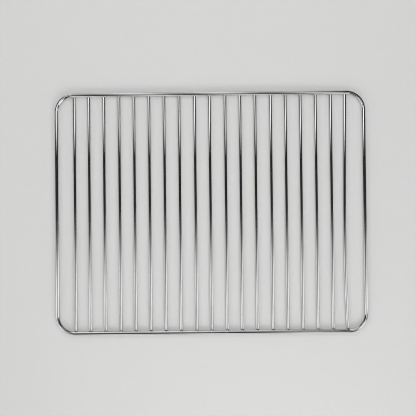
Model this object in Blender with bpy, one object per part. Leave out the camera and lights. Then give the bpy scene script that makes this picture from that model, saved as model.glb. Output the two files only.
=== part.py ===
"""Cooling rack: a loop of bent round wire with thinner straight wires butt-welded across it."""

import math

import bmesh
import bpy

# Driving dimensions, in metres. X runs along the rack, Y across it, Z up from the surface it lies on.
FRAME_LENGTH = 0.4162
FRAME_WIDTH = 0.3234
FRAME_WIRE = 0.0050
CORNER_RADIUS = 0.0230

GRID_WIRE = 0.0040
GRID_COUNT = 19
BEND_TO_WIRE = 0.0008

# Each end of a grid wire is upset by its weld, and widens towards the frame over this length.
WELD_SWELL = 0.0006
WELD_LENGTH = 0.0030

# Wires that were welded off their even pitch, by number from the left, and how far along X.
WELD_DRIFT = {
    1: 0.0004, 2: -0.0004, 3: -0.0005, 4: -0.0003, 5: -0.0005, 6: -0.0006, 7: -0.0006, 8: -0.0006,
    10: -0.0003, 11: 0.0003, 14: 0.0006, 15: 0.0002,
}

# The last wire stands nearer to its neighbour, and is sprung towards it, more in its front half than its back.
LAST_WIRE_DRIFT = -0.0010
LAST_WIRE_BOW = -0.0022
BOW_SKEW = 0.5

# Clearance between a wire's end and the frame, where the weld is, and the fineness of the round shapes.
JOINT_GAP = 0.0003
CORNER_STEPS = 8
FRAME_SIDES = 16
GRID_SIDES = 12
WELD_STEPS = 4
BOW_STEPS = 10

# Places worked out from the driving dimensions.
FRAME_RADIUS = FRAME_WIRE / 2
GRID_RADIUS = GRID_WIRE / 2
WELD_RADIUS = GRID_RADIUS + WELD_SWELL / 2
RAIL_X = FRAME_LENGTH / 2 - FRAME_RADIUS
RAIL_Y = FRAME_WIDTH / 2 - FRAME_RADIUS
FIRST_WIRE_X = -(RAIL_X - CORNER_RADIUS - BEND_TO_WIRE)
GRID_PITCH = -2 * FIRST_WIRE_X / (GRID_COUNT - 1)


def clear_scene():
    for old in list(bpy.data.objects):
        bpy.data.objects.remove(old, do_unlink=True)


def new_collection(name):
    collection = bpy.data.collections.new(name)
    bpy.context.scene.collection.children.link(collection)
    return collection


def bright_metal(name, color, roughness):
    material = bpy.data.materials.new(name)
    material.use_nodes = True
    shader = material.node_tree.nodes["Principled BSDF"]
    shader.inputs["Base Color"].default_value = (*color, 1.0)
    shader.inputs["Metallic"].default_value = 1.0
    shader.inputs["Roughness"].default_value = roughness
    return material


def depth_across_flats(radius, sides):
    """Bevel depth of a wire whose flats, not its corners, lie at the given radius."""
    return radius / math.cos(math.pi / sides)


def wire_curve(name, points, radius, sides, cyclic):
    """A wire along (x, y, z, local radius) points, turned so that a flat of its section lies underneath."""
    data = bpy.data.curves.new(name, "CURVE")
    data.dimensions = "3D"
    data.twist_mode = "Z_UP"
    data.fill_mode = "FULL"
    data.use_fill_caps = not cyclic
    data.bevel_depth = depth_across_flats(radius, sides)
    data.bevel_resolution = sides // 2 - 2
    spline = data.splines.new("POLY")
    spline.points.add(len(points) - 1)
    for spot, (x, y, z, local_radius) in zip(spline.points, points):
        spot.co = (x, y, z, 1.0)
        spot.radius = local_radius / radius
        spot.tilt = math.pi / sides
    spline.use_cyclic_u = cyclic
    return data


def wire_mesh(name, points, radius, sides, cyclic=False):
    """The wire's surface as one closed mesh, with its end caps welded on."""
    curve = wire_curve(name, points, radius, sides, cyclic)
    holder = bpy.data.objects.new(name, curve)
    bpy.context.scene.collection.objects.link(holder)
    graph = bpy.context.evaluated_depsgraph_get()
    mesh = bpy.data.meshes.new_from_object(holder.evaluated_get(graph))
    mesh.name = name
    bpy.data.objects.remove(holder, do_unlink=True)
    bpy.data.curves.remove(curve)
    shell = bmesh.new()
    shell.from_mesh(mesh)
    bmesh.ops.remove_doubles(shell, verts=shell.verts, dist=0.00001)
    bmesh.ops.recalc_face_normals(shell, faces=shell.faces)
    shell.to_mesh(mesh)
    shell.free()
    mesh.shade_smooth()
    mesh.set_sharp_from_angle(angle=math.radians(40))
    return mesh


def loop_points():
    """Centre line of the frame: four quarter bends, joined by the straight rails."""
    bend_x = RAIL_X - CORNER_RADIUS
    bend_y = RAIL_Y - CORNER_RADIUS
    corners = [(bend_x, bend_y), (-bend_x, bend_y), (-bend_x, -bend_y), (bend_x, -bend_y)]
    points = []
    for quarter, (center_x, center_y) in enumerate(corners):
        for step in range(CORNER_STEPS + 1):
            angle = (quarter + step / CORNER_STEPS) * math.pi / 2
            x = center_x + CORNER_RADIUS * math.cos(angle)
            y = center_y + CORNER_RADIUS * math.sin(angle)
            points.append((x, y, FRAME_RADIUS, FRAME_RADIUS))
    return points


def upset_radius(distance):
    """Radius of a grid wire at a distance from the frame's face, swelling to the weld's own radius."""
    share = min(max(1 - distance / WELD_LENGTH, 0.0), 1.0)
    return GRID_RADIUS + (WELD_RADIUS - GRID_RADIUS) * share ** 2


def grid_points(bow):
    """Centre line of a grid wire, lying on the surface all along, with both ends running into the rails."""
    face_y = RAIL_Y - FRAME_RADIUS
    cut_half_width = math.sqrt(JOINT_GAP * (2 * FRAME_RADIUS + JOINT_GAP))
    end_y = RAIL_Y - cut_half_width / 2
    weld = [face_y - WELD_LENGTH * step / WELD_STEPS for step in range(WELD_STEPS + 1)]
    steps = BOW_STEPS if bow else 1
    between = [weld[-1] * (1 - 2 * step / steps) for step in range(1, steps)]
    back_half = [end_y] + weld
    stations = back_half + between + [-y for y in reversed(back_half)]
    points = []
    for y in stations:
        radius = upset_radius(face_y - abs(y))
        back_share = y / end_y
        sideways = bow * (1 - back_share ** 2) * (1 - BOW_SKEW * back_share)
        points.append((sideways, y, radius, radius))
    return points


def rail_cutter(name, y, collection):
    """A rail's own outline, grown by the joint gap, which gives the grid wires their fish-mouth ends."""
    radius = FRAME_RADIUS + JOINT_GAP
    ends = [(-RAIL_X, y, FRAME_RADIUS, radius), (RAIL_X, y, FRAME_RADIUS, radius)]
    cutter = bpy.data.objects.new(name, wire_mesh(name, ends, radius, FRAME_SIDES))
    collection.objects.link(cutter)
    cutter.hide_render = True
    cutter.display_type = "WIRE"
    return cutter


def add_piece(name, mesh, parent, collection):
    piece = bpy.data.objects.new(name, mesh)
    piece.parent = parent
    collection.objects.link(piece)
    return piece


def build_frame(parent, collection):
    mesh = wire_mesh("frame", loop_points(), FRAME_RADIUS, FRAME_SIDES, cyclic=True)
    mesh.materials.append(bright_metal("frame_wire", (0.80, 0.80, 0.79), 0.10))
    add_piece("frame", mesh, parent, collection)


def build_grid(parent, collection, cutters):
    straight = wire_mesh("grid_wire", grid_points(0.0), GRID_RADIUS, GRID_SIDES)
    bowed = wire_mesh("bowed_wire", grid_points(LAST_WIRE_BOW), GRID_RADIUS, GRID_SIDES)
    finish = bright_metal("grid_wire", (0.78, 0.78, 0.77), 0.14)
    for mesh in (straight, bowed):
        mesh.materials.append(finish)
    drift = {**WELD_DRIFT, GRID_COUNT: LAST_WIRE_DRIFT}
    for number in range(1, GRID_COUNT + 1):
        mesh = bowed if number == GRID_COUNT else straight
        wire = add_piece(f"grid_wire_{number:02d}", mesh, parent, collection)
        wire.location.x = FIRST_WIRE_X + GRID_PITCH * (number - 1) + drift.get(number, 0.0)
        for cutter in cutters:
            cope = wire.modifiers.new("cope", "BOOLEAN")
            cope.operation = "DIFFERENCE"
            cope.object = cutter


def build_rack():
    clear_scene()
    pieces = new_collection("cooling_rack")
    tools = new_collection("cutters")
    origin = bpy.data.objects.new("rack_origin", None)
    pieces.objects.link(origin)
    rails = {"front_rail_cutter": -RAIL_Y, "back_rail_cutter": RAIL_Y}
    cutters = [rail_cutter(name, y, tools) for name, y in rails.items()]
    build_frame(origin, pieces)
    build_grid(origin, pieces, cutters)


build_rack()
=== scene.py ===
"""Looks of the cooling rack: bright drawn wire, welded ends, a pale floor and soft studio light."""

import math

import bpy
from mathutils import Matrix, Vector, noise


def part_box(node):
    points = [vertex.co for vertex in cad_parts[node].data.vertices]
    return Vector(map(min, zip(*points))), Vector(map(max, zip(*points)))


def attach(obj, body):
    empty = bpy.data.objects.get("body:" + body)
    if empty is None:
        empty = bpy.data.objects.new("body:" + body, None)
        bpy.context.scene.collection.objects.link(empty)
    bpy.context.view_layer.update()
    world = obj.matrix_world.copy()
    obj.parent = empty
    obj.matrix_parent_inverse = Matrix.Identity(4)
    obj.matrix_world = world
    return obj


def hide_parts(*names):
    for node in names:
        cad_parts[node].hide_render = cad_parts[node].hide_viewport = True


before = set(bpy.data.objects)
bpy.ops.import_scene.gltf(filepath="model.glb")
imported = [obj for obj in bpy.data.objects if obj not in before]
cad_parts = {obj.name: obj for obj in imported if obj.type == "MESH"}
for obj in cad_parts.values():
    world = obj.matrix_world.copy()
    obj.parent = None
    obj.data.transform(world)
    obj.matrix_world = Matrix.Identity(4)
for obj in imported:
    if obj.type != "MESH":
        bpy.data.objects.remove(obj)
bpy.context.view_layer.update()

# Sizes in metres that the solids' boxes don't give.
GRID_WIRE = 0.0040
CORNER_RADIUS = 0.0230

# The bowed wire: how much more it bows in its front half, and how far its curve peaks for a bow of 1.
BOW_SKEW = 0.5
BOW_PEAK = 1.0563

# A wire is the bowed one if its box is wider than this many times half a weld's width.
BOWED_WIDTH = 2.1

# Weld fillets: their size, a toe's clearance from the floor, its highest reach as a share of the rail's
# radius, and how deep it sinks into the rail.
WELD_FILLET = {"front": 0.0013, "back": 0.0004}
TOE_CLEARANCE = 0.0001
TOE_TOP = 0.98
TOE_SINK = 0.00005

# Fineness of the modelled wires.
FRAME_SIDES = 32
GRID_SIDES = 24
RAIL_STEP = 0.006
GRID_STEP = 0.008
CORNER_STEPS = 20
FILLET_STEPS = 6
SHARP_EDGE = math.radians(50)

# How far wire leaves its true line from the drawing die, and over what length.
WAVE_HEIGHT = 0.00002
WAVE_LENGTH = 0.045

# Places in the noise that keep the wires' waves and their two directions apart, and the steps from a weld
# over which a wave grows to its full height.
WAVE_WIRE_SPACING = 7.3
WAVE_SIDE_ROW = 0.5
WAVE_UP_ROW = 9.5
WAVE_FADE_STEPS = 3

# The loop's closing weld, on the front rail, and how its ground bead swells the wire. Wire whose outward Y
# is below FACES_FRONT is the front rail's, and all other wire counts as far from the weld.
SEAM_X = 0.0372
SEAM_LENGTH = 0.0016
SEAM_SWELL = 0.035
FACES_FRONT = -0.99
FAR_FROM_SEAM = 1.0

# Heat from welding tints the plating over this length.
HEAT_LENGTH = 0.006

# The plating, and its roughness on the frame and on the thinner wires.
PLATING_COLOR = (0.58, 0.58, 0.575)
FRAME_ROUGHNESS = 0.025
GRID_ROUGHNESS = 0.03

# Noise over the wires: scale along and around them, detail and roughness. Its values lie round NOISE_MIDDLE.
NOISE_MIDDLE = 0.5
DRAW_LINES = (25.0, 9.0, 3.0, 0.5)
HAZE = (60.0, 0.6, 4.0, 0.6)
PITS = (900.0, 2.4, 1.0, 0.5)

# Where haze, pits and heat tint set in and are full, and how unevenly the tint spreads.
HAZE_RISE = (0.50, 0.72)
PIT_RISE = (0.70, 0.78)
TINT_RISE = (0.55, 1.05)
TINT_UNEVEN = 0.4

# What they do to the colour and the roughness.
HAZE_SHADE = 0.90
HAZE_SHARE = 0.35
TINT_COLOR = (0.45, 0.40, 0.34)
PIT_COLOR = (0.20, 0.19, 0.18)
PIT_SHARE = 0.6
HAZE_ROUGHNESS = 0.05
LINE_ROUGHNESS = 0.03
PIT_ROUGHNESS = 0.25
TINT_ROUGHNESS = 0.10
BUMP_STRENGTH = 0.25
BUMP_DEPTH = 0.00003

# The camera looks almost straight down, and sees VIEW_WIDTH of the rack's own plane. PIXEL_FILTER is the
# width of the render's filter in pixels.
CAMERA_AIM = (-0.0038, 0.0064)
CAMERA_HEIGHT = 1.3
CAMERA_NOD = math.radians(1.05)
CAMERA_LEAN = math.radians(0.24)
CAMERA_ROLL = math.radians(-0.61)
VIEW_WIDTH = 0.5556
SENSOR_WIDTH = 36.0
PIXEL_FILTER = 0.9

# The floor, which lies a hair under the rack.
FLOOR_SIZE = 40.0
FLOOR_GAP = 0.00005
FLOOR_COLOR = (0.80, 0.80, 0.795)
FLOOR_ROUGHNESS = 0.75
FLOOR_SPECULAR = 0.2
FLOOR_GRAIN_SCALE = 140.0
FLOOR_GRAIN_DETAIL = 3.0
FLOOR_GRAIN_SHADE = 0.97

# The backdrop, its brightness where it meets the floor and higher up, and the height between.
BACKDROP_RADIUS = 19.0
BACKDROP_HEIGHT = 14.0
BACKDROP_SIDES = 64
BACKDROP_COLOR = (1.0, 1.0, 0.994)
BACKDROP_FOOT = 0.325
BACKDROP_HEAD = 0.50
BACKDROP_FADE = 4.0

# The studio's soft panels, by the direction they lie in:
# from and to along X, softness, the same along Y, brightness.
STUDIO_PANELS = {
    "front_far_left": (-1.10, -0.85, 0.258, -0.613, -0.075, 0.104, 1.75),
    "front_left": (-0.382, -0.21, 0.071, -0.236, -0.09, 0.097, 1.00),
    "front_middle": (-0.06, -0.02, 0.06, -0.239, -0.099, 0.124, 0.35),
    "front_right": (0.112, 0.467, 0.078, -0.211, -0.09, 0.093, 1.36),
    "front_right_outer": (0.54, 0.846, 0.075, -0.075, -0.075, 0.10, 1.20),
    "front_far_right": (0.979, 1.10, 0.16, -0.077, -0.049, 0.061, 2.10),
    "back_wall": (-0.48, 0.0, 0.176, 0.833, 1.10, 0.176, 1.37),
    "front_wall": (-0.486, 0.153, 0.105, -1.10, -1.02, 0.218, 1.65),
    "corner_front_left": (-0.95, -0.66, 0.08, -0.95, -0.66, 0.08, 1.25),
    "corner_front_right": (0.539, 0.971, 0.132, -0.753, -0.427, 0.082, 1.8),
    "corner_front_right_inner": (0.25, 0.50, 0.10, -0.46, -0.28, 0.10, 0.9),
    "corner_back_left": (-0.36, -0.30, 0.15, 0.25, 0.35, 0.16, 0.50),
}
ROOM_LIGHT = 0.035
GROUND_LIGHT = 0.6
HORIZON_SOFT = 0.03
LIGHT_COLOR = (1.0, 1.0, 1.0)

# Soft boxes near the rack, in metres: from and to along X, softness, the same along Y, brightness.
SOFT_BOXES = {
    "strip": (-0.60, 0.272, 0.03, 0.22, 0.29, 0.09, 1.75),
    "corner": (-1.70, -0.66, 0.16, -1.70, -0.62, 0.16, 1.90),
}
SOFT_BOX_HEIGHT = 0.8

# The two low key lights, by azimuth from the front and power, and the fill light from the back.
KEY_LIGHTS = {"key_left": (math.radians(-25), 0.24), "key_right": (math.radians(25), 0.74)}
KEY_ELEVATION = math.radians(28)
KEY_DISTANCE = 1.15
KEY_SIZE = 0.40
KEY_SPREAD = math.radians(75)
FILL_AZIMUTH = math.pi
FILL_ELEVATION = math.radians(66)
FILL_DISTANCE = 1.6
FILL_SIZE = 2.0
FILL_SPREAD = math.pi
FILL_POWER = 14.2

# Sizes and places taken from the solids' boxes.
box_low, box_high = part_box("frame")
FRAME_RADIUS = (box_high.z - box_low.z) / 2
FLOOR_Z = box_low.z
FRAME_Z = FLOOR_Z + FRAME_RADIUS
RAIL_X = (box_high.x - box_low.x) / 2 - FRAME_RADIUS
RAIL_Y = (box_high.y - box_low.y) / 2 - FRAME_RADIUS
GRID_RADIUS = GRID_WIRE / 2
GRID_Z = FLOOR_Z + GRID_RADIUS
GRID_NODES = sorted(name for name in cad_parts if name.startswith("grid_wire"))


class Field:
    """A number that varies over a surface or the sky, built from math nodes with ordinary arithmetic."""

    def __init__(self, tree, socket):
        self.tree = tree
        self.socket = socket

    def math(self, operation, *others):
        node = self.tree.nodes.new("ShaderNodeMath")
        node.operation = operation
        for slot, value in zip(node.inputs, (self, *others)):
            if isinstance(value, Field):
                self.tree.links.new(value.socket, slot)
            else:
                slot.default_value = value
        return Field(self.tree, node.outputs[0])

    def __add__(self, other):
        return self.math("ADD", other)

    def __sub__(self, other):
        return self.math("SUBTRACT", other)

    def __mul__(self, other):
        return self.math("MULTIPLY", other)

    def rise(self, low, high):
        """0 up to low, 1 from high on, and a smooth step between; falling where high is below low."""
        node = self.tree.nodes.new("ShaderNodeMapRange")
        node.interpolation_type = "SMOOTHSTEP"
        self.tree.links.new(self.socket, node.inputs["Value"])
        node.inputs["From Min"].default_value = min(low, high)
        node.inputs["From Max"].default_value = max(low, high)
        node.inputs["To Min"].default_value = 0.0 if low < high else 1.0
        node.inputs["To Max"].default_value = 1.0 if low < high else 0.0
        return Field(self.tree, node.outputs["Result"])

    def band(self, low, high, soft):
        """1 between low and high, fading to 0 over soft outside them."""
        return self.rise(low - soft, low) * self.rise(high + soft, high)

    def drive(self, socket):
        self.tree.links.new(self.socket, socket)


def wobble(place, seed):
    """Smooth deviation of drawn wire from its true line, at a distance along it, sideways and up."""
    at = place / WAVE_LENGTH
    side = noise.noise(Vector((at, seed * WAVE_WIRE_SPACING, WAVE_SIDE_ROW)))
    up = noise.noise(Vector((at, seed * WAVE_WIRE_SPACING, WAVE_UP_ROW)))
    return WAVE_HEIGHT * side, WAVE_HEIGHT * up


def tube(name, rings, along, heat, closed):
    """A mesh through rings of points, with distance along and turn around as UV, and heat at each point."""
    sides = len(rings[0])
    points = [spot for ring in rings for spot in ring]
    faces = []
    spans = len(rings) if closed else len(rings) - 1
    for ring in range(spans):
        here = ring * sides
        ahead = (ring + 1) % len(rings) * sides
        for side in range(sides):
            beside = (side + 1) % sides
            faces.append((here + side, here + beside, ahead + beside, ahead + side))
    if not closed:
        faces.append(tuple(reversed(range(sides))))
        faces.append(tuple(range(len(points) - sides, len(points))))
    mesh = bpy.data.meshes.new(name)
    mesh.from_pydata(points, [], faces)
    layer = mesh.uv_layers.new(name="wire")
    lengths = list(along) + [along[-1] + (along[1] - along[0])]
    for ring in range(spans):
        for side in range(sides):
            face = mesh.polygons[ring * sides + side]
            corners = ((ring, side), (ring, side + 1), (ring + 1, side + 1), (ring + 1, side))
            for loop, (row, turn) in zip(face.loop_indices, corners):
                layer.data[loop].uv = (lengths[row], turn / sides)
    warmth = mesh.attributes.new("heat", "FLOAT", "POINT")
    for ring, value in enumerate(heat):
        for side in range(sides):
            warmth.data[ring * sides + side].value = value
    mesh.shade_smooth()
    mesh.set_sharp_from_angle(angle=SHARP_EDGE)
    mesh.update()
    piece = bpy.data.objects.new(name, mesh)
    bpy.context.scene.collection.objects.link(piece)
    return piece


def circle(sides):
    turns = [2 * math.pi * k / sides for k in range(sides)]
    return [(math.cos(turn), math.sin(turn)) for turn in turns]


def loop_stations():
    """Places along the frame's centre line as (x, y, outward x, outward y)."""
    bend_x = RAIL_X - CORNER_RADIUS
    bend_y = RAIL_Y - CORNER_RADIUS
    corners = [(bend_x, -bend_y), (bend_x, bend_y), (-bend_x, bend_y), (-bend_x, -bend_y)]
    stations = []
    for quarter, (center_x, center_y) in enumerate(corners):
        for step in range(CORNER_STEPS + 1):
            angle = (quarter - 1 + step / CORNER_STEPS) * math.pi / 2
            out_x, out_y = math.cos(angle), math.sin(angle)
            x = center_x + CORNER_RADIUS * out_x
            y = center_y + CORNER_RADIUS * out_y
            stations.append((x, y, out_x, out_y))
        next_x, next_y = corners[(quarter + 1) % len(corners)]
        length = math.hypot(next_x - center_x, next_y - center_y)
        pieces = round(length / RAIL_STEP)
        start_x, start_y, out_x, out_y = stations[-1]
        for step in range(1, pieces):
            share = step / pieces
            x = start_x + (next_x - center_x) * share
            y = start_y + (next_y - center_y) * share
            stations.append((x, y, out_x, out_y))
    return stations


def make_frame():
    section = circle(FRAME_SIDES)
    rings, along, heat = [], [], []
    distance = 0.0
    last = None
    for x, y, out_x, out_y in loop_stations():
        if last:
            distance += math.hypot(x - last[0], y - last[1])
        last = (x, y)
        side, up = wobble(distance, 0)
        from_seam = abs(x - SEAM_X) if out_y < FACES_FRONT else FAR_FROM_SEAM
        bead = max(0.0, 1 - (from_seam / SEAM_LENGTH) ** 2)
        radius = FRAME_RADIUS * (1 + SEAM_SWELL * bead)
        ring = []
        for c, s in section:
            reach = min(radius * c + side, FRAME_RADIUS)
            rise = min(max(radius * s + up, -FRAME_RADIUS), FRAME_RADIUS)
            ring.append((x + out_x * reach, y + out_y * reach, FRAME_Z + rise))
        rings.append(ring)
        along.append(distance)
        heat.append(max(0.0, 1 - from_seam / HEAT_LENGTH))
    return tube("frame_loop", rings, along, heat, closed=True)


def rail_face(z):
    """How far the rail's round side stands out from its centre line at a height."""
    return math.sqrt(max(FRAME_RADIUS ** 2 - (z - FRAME_Z) ** 2, 0.0))


def weld_rings(x, end, section):
    """Rings of a weld fillet, from its toe on the rail to the plain wire, curving in towards the corner."""
    rings = []
    fillet = WELD_FILLET["front"] if end < 0 else WELD_FILLET["back"]
    toe = GRID_RADIUS + fillet
    toe_bottom = FLOOR_Z + TOE_CLEARANCE
    toe_top = FRAME_Z + FRAME_RADIUS * TOE_TOP
    wire_y = RAIL_Y - FRAME_RADIUS - fillet
    for step in range(FILLET_STEPS + 1):
        t = step / FILLET_STEPS
        to_toe, to_root, to_wire = (1 - t) ** 2, 2 * t * (1 - t), t * t
        ring = []
        for c, s in section:
            toe_z = min(max(GRID_Z + toe * s, toe_bottom), toe_top)
            wire_z = GRID_Z + GRID_RADIUS * s
            toe_y = RAIL_Y - rail_face(toe_z) + TOE_SINK
            root_y = RAIL_Y - rail_face(wire_z)
            reach = to_toe * toe + to_root * GRID_RADIUS + to_wire * GRID_RADIUS
            y = to_toe * toe_y + to_root * root_y + to_wire * wire_y
            z = to_toe * toe_z + to_root * wire_z + to_wire * wire_z
            ring.append((x + reach * c, end * y, z))
        rings.append(ring)
    return rings


def make_wire(number, node):
    low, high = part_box(node)
    straight_low, straight_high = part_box(GRID_NODES[0])
    half_weld = (straight_high.x - straight_low.x) / 2
    x = high.x - half_weld
    bowed = high.x - low.x > BOWED_WIDTH * half_weld
    bow = (low.x + GRID_RADIUS - x) / BOW_PEAK if bowed else 0.0
    section = circle(GRID_SIDES)
    first = weld_rings(x, -1, section)
    last = weld_rings(x, 1, section)
    start_y = first[-1][0][1]
    end_y = last[-1][0][1]
    count = round((end_y - start_y) / GRID_STEP)
    rings = list(first)
    places = [ring[0][1] for ring in first]
    for step in range(1, count):
        y = start_y + (end_y - start_y) * step / count
        side, up = wobble(y, number)
        fade = min(1.0, min(step, count - step) / WAVE_FADE_STEPS)
        back_share = y / end_y
        middle = x + bow * (1 - back_share ** 2) * (1 - BOW_SKEW * back_share) + side * fade
        ring = []
        for c, s in section:
            z = max(FLOOR_Z, GRID_Z + GRID_RADIUS * s + up * fade)
            ring.append((middle + GRID_RADIUS * c, y, z))
        rings.append(ring)
        places.append(y)
    rings += reversed(last)
    places += [ring[0][1] for ring in reversed(last)]
    face_y = RAIL_Y - FRAME_RADIUS
    heat = [min(max(0.0, 1 - (face_y - abs(y)) / HEAT_LENGTH), 1.0) for y in places]
    rings = [list(reversed(ring)) for ring in rings]
    return tube(f"wire_{number:02d}", rings, places, heat, closed=False)


def noise_field(tree, vector, scale, detail, roughness=0.5):
    node = tree.nodes.new("ShaderNodeTexNoise")
    node.inputs["Scale"].default_value = scale
    node.inputs["Detail"].default_value = detail
    node.inputs["Roughness"].default_value = roughness
    tree.links.new(vector, node.inputs["Vector"])
    return Field(tree, node.outputs["Fac"])


def wire_noise(tree, along, around, along_scale, around_scale, detail, roughness):
    """Noise over a wire, without a seam around it, with its own scale along and around it."""
    turn = around * (2 * math.pi)
    node = tree.nodes.new("ShaderNodeCombineXYZ")
    (along * along_scale).drive(node.inputs["X"])
    (turn.math("COSINE") * around_scale).drive(node.inputs["Y"])
    (turn.math("SINE") * around_scale).drive(node.inputs["Z"])
    return noise_field(tree, node.outputs["Vector"], 1.0, detail, roughness)


def mix_color(tree, factor, first, second):
    node = tree.nodes.new("ShaderNodeMix")
    node.data_type = "RGBA"
    factor.drive(node.inputs[0])
    for slot, value in ((node.inputs[6], first), (node.inputs[7], second)):
        if isinstance(value, tuple):
            slot.default_value = (*value, 1.0)
        else:
            tree.links.new(value, slot)
    return node.outputs[2]


def shaded(color, share):
    return tuple(share * part for part in color)


def axis_fields(tree, output):
    """The X, Y and Z of a node's vector output, as fields."""
    split = tree.nodes.new("ShaderNodeSeparateXYZ")
    tree.links.new(output, split.inputs["Vector"])
    return [Field(tree, split.outputs[axis]) for axis in "XYZ"]


def bright_wire(name, roughness):
    """Bright plated wire: draw lines along it, handling haze, small pits, and a straw heat tint at welds."""
    material = bpy.data.materials.new(name)
    material.use_nodes = True
    tree = material.node_tree
    shader = tree.nodes["Principled BSDF"]
    uv = tree.nodes.new("ShaderNodeUVMap")
    uv.uv_map = "wire"
    along, around, _ = axis_fields(tree, uv.outputs["UV"])
    warmth = tree.nodes.new("ShaderNodeAttribute")
    warmth.attribute_name = "heat"
    heat = Field(tree, warmth.outputs["Fac"])

    lines = wire_noise(tree, along, around, *DRAW_LINES)
    haze = wire_noise(tree, along, around, *HAZE)
    pits = wire_noise(tree, along, around, *PITS)

    hazy = haze.rise(*HAZE_RISE)
    pitted = pits.rise(*PIT_RISE)
    tint = (heat + (haze - NOISE_MIDDLE) * TINT_UNEVEN).rise(*TINT_RISE)
    plain = mix_color(tree, hazy * HAZE_SHARE, PLATING_COLOR, shaded(PLATING_COLOR, HAZE_SHADE))
    tinted = mix_color(tree, tint, plain, TINT_COLOR)
    worn = mix_color(tree, pitted * PIT_SHARE, tinted, PIT_COLOR)
    tree.links.new(worn, shader.inputs["Base Color"])
    wear = hazy * HAZE_ROUGHNESS + lines * LINE_ROUGHNESS + pitted * PIT_ROUGHNESS + tint * TINT_ROUGHNESS
    (wear + roughness).drive(shader.inputs["Roughness"])
    shader.inputs["Metallic"].default_value = 1.0

    bump = tree.nodes.new("ShaderNodeBump")
    bump.inputs["Strength"].default_value = BUMP_STRENGTH
    bump.inputs["Distance"].default_value = BUMP_DEPTH
    (lines - pitted).drive(bump.inputs["Height"])
    tree.links.new(bump.outputs["Normal"], shader.inputs["Normal"])
    return material


def pale_floor():
    material = bpy.data.materials.new("pale_floor")
    material.use_nodes = True
    tree = material.node_tree
    shader = tree.nodes["Principled BSDF"]
    place = tree.nodes.new("ShaderNodeTexCoord")
    grain = noise_field(tree, place.outputs["Object"], FLOOR_GRAIN_SCALE, FLOOR_GRAIN_DETAIL)
    mixed = mix_color(tree, grain, FLOOR_COLOR, shaded(FLOOR_COLOR, FLOOR_GRAIN_SHADE))
    tree.links.new(mixed, shader.inputs["Base Color"])
    shader.inputs["Roughness"].default_value = FLOOR_ROUGHNESS
    shader.inputs["Specular IOR Level"].default_value = FLOOR_SPECULAR
    return material


def glow_material(name, color):
    """A material that only glows, with the fields of its surface's own X, Y and Z and its strength socket."""
    material = bpy.data.materials.new(name)
    material.use_nodes = True
    tree = material.node_tree
    place = tree.nodes.new("ShaderNodeTexCoord")
    fields = axis_fields(tree, place.outputs["Object"])
    glow = tree.nodes.new("ShaderNodeEmission")
    glow.inputs["Color"].default_value = (*color, 1.0)
    tree.links.new(glow.outputs["Emission"], tree.nodes["Material Output"].inputs["Surface"])
    tree.nodes.remove(tree.nodes["Principled BSDF"])
    return material, fields, glow.inputs["Strength"]


def studio_piece(name, points, faces, material, z):
    """A plain mesh of the studio, at a height."""
    mesh = bpy.data.meshes.new(name)
    mesh.from_pydata(points, [], faces)
    mesh.materials.append(material)
    piece = bpy.data.objects.new(name, mesh)
    piece.location.z = z
    bpy.context.scene.collection.objects.link(piece)
    return piece


def make_floor():
    half = FLOOR_SIZE / 2
    corners = [(-half, -half, 0), (half, -half, 0), (half, half, 0), (-half, half, 0)]
    floor = studio_piece("floor", corners, [(0, 1, 2, 3)], pale_floor(), FLOOR_Z - FLOOR_GAP)


def make_backdrop():
    """A plain wall far round the floor, which only the camera sees."""
    material, (_, _, height), strength = glow_material("backdrop", BACKDROP_COLOR)
    light = height.rise(0.0, BACKDROP_FADE) * (BACKDROP_HEAD - BACKDROP_FOOT) + BACKDROP_FOOT
    light.drive(strength)
    ring = [(BACKDROP_RADIUS * x, BACKDROP_RADIUS * y) for x, y in circle(BACKDROP_SIDES)]
    points = [(x, y, 0) for x, y in ring] + [(x, y, BACKDROP_HEIGHT) for x, y in ring]
    faces = []
    for side in range(BACKDROP_SIDES):
        beside = (side + 1) % BACKDROP_SIDES
        faces.append((beside, side, side + BACKDROP_SIDES, beside + BACKDROP_SIDES))
    wall = studio_piece("backdrop", points, faces, material, FLOOR_Z)
    wall.visible_diffuse = False
    wall.visible_glossy = False
    wall.visible_shadow = False


def make_camera():
    data = bpy.data.cameras.new("camera")
    data.sensor_width = SENSOR_WIDTH
    data.lens = SENSOR_WIDTH * CAMERA_HEIGHT / VIEW_WIDTH
    camera = bpy.data.objects.new("camera", data)
    turn = Matrix.Rotation(CAMERA_ROLL, 4, "Z")
    turn @= Matrix.Rotation(CAMERA_LEAN, 4, "Y") @ Matrix.Rotation(CAMERA_NOD, 4, "X")
    aim = Matrix.Translation((*CAMERA_AIM, FRAME_Z))
    camera.matrix_world = aim @ turn @ Matrix.Translation((0, 0, CAMERA_HEIGHT))
    bpy.context.scene.collection.objects.link(camera)
    bpy.context.scene.camera = camera


def area_light(name, aim, azimuth, elevation, distance, size, spread, power):
    """A square soft light aimed at a spot, which mirrors don't show. Azimuth runs from front to right."""
    data = bpy.data.lights.new(name, "AREA")
    data.size = size
    data.spread = spread
    data.energy = power
    light = bpy.data.objects.new(name, data)
    way = Vector((
        math.sin(azimuth) * math.cos(elevation),
        -math.cos(azimuth) * math.cos(elevation),
        math.sin(elevation),
    ))
    light.location = aim + way * distance
    light.rotation_euler = way.to_track_quat("Z", "Y").to_euler()
    light.visible_camera = False
    light.visible_glossy = False
    bpy.context.scene.collection.objects.link(light)


def soft_panel(right, back, panel):
    """The light of a soft-edged rectangle, from the fields along X and Y."""
    left_edge, right_edge, side_soft, front_edge, back_edge, end_soft, level = panel
    return right.band(left_edge, right_edge, side_soft) * back.band(front_edge, back_edge, end_soft) * level


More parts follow.
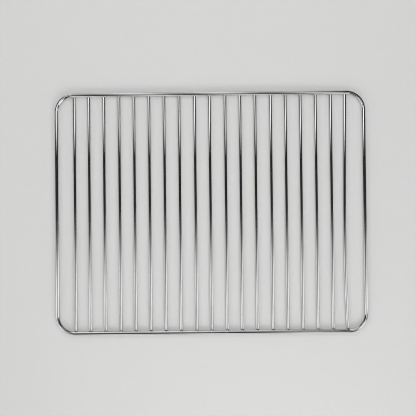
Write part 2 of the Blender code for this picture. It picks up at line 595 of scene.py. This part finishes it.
def make_sky():
    """The studio over the rack: soft panels in a dark room, and a pale ground all round."""
    world = bpy.data.worlds.new("studio")
    world.use_nodes = True
    tree = world.node_tree
    place = tree.nodes.new("ShaderNodeTexCoord")
    right, back, up = axis_fields(tree, place.outputs["Generated"])
    light = up.rise(-HORIZON_SOFT, HORIZON_SOFT) * ROOM_LIGHT
    for panel in STUDIO_PANELS.values():
        light = light + soft_panel(right, back, panel)
    above = light * up.rise(-HORIZON_SOFT, HORIZON_SOFT)
    below = up.rise(HORIZON_SOFT, -HORIZON_SOFT) * GROUND_LIGHT
    sky = tree.nodes["Background"]
    sky.inputs["Color"].default_value = (*LIGHT_COLOR, 1.0)
    (above + below).drive(sky.inputs["Strength"])
    bpy.context.scene.world = world


def make_soft_box(name, panel):
    """A soft light near the rack, which only mirrors show."""
    material, (right, back, _), strength = glow_material(name, LIGHT_COLOR)
    soft_panel(right, back, panel).drive(strength)
    left_edge, right_edge, side_soft, front_edge, back_edge, end_soft, _ = panel
    low_x, high_x = left_edge - side_soft, right_edge + side_soft
    low_y, high_y = front_edge - end_soft, back_edge + end_soft
    corners = [(low_x, low_y, 0), (low_x, high_y, 0), (high_x, high_y, 0), (high_x, low_y, 0)]
    box = studio_piece(name, corners, [(0, 1, 2, 3)], material, FLOOR_Z + SOFT_BOX_HEIGHT)
    box.visible_camera = False
    box.visible_diffuse = False
    box.visible_shadow = False


def make_lights():
    make_sky()
    for name, panel in SOFT_BOXES.items():
        make_soft_box(f"soft_box_{name}", panel)
    front = Vector((0, -RAIL_Y, 0))
    for name, (azimuth, power) in KEY_LIGHTS.items():
        area_light(name, front, azimuth, KEY_ELEVATION, KEY_DISTANCE, KEY_SIZE, KEY_SPREAD, power)
    middle = Vector()
    area_light(
        "fill", middle, FILL_AZIMUTH, FILL_ELEVATION, FILL_DISTANCE, FILL_SIZE, FILL_SPREAD, FILL_POWER
    )


frame_finish = bright_wire("frame_wire_finish", FRAME_ROUGHNESS)
grid_finish = bright_wire("grid_wire_finish", GRID_ROUGHNESS)

loop = make_frame()
loop.data.materials.append(frame_finish)
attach(loop, "root")
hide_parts("frame")

for index, node_name in enumerate(GRID_NODES, start=1):
    wire = make_wire(index, node_name)
    wire.data.materials.append(grid_finish)
    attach(wire, "root")
    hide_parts(node_name)

make_floor()
make_backdrop()
make_camera()
make_lights()
bpy.context.scene.view_settings.view_transform = "Standard"
bpy.context.scene.cycles.filter_width = PIXEL_FILTER
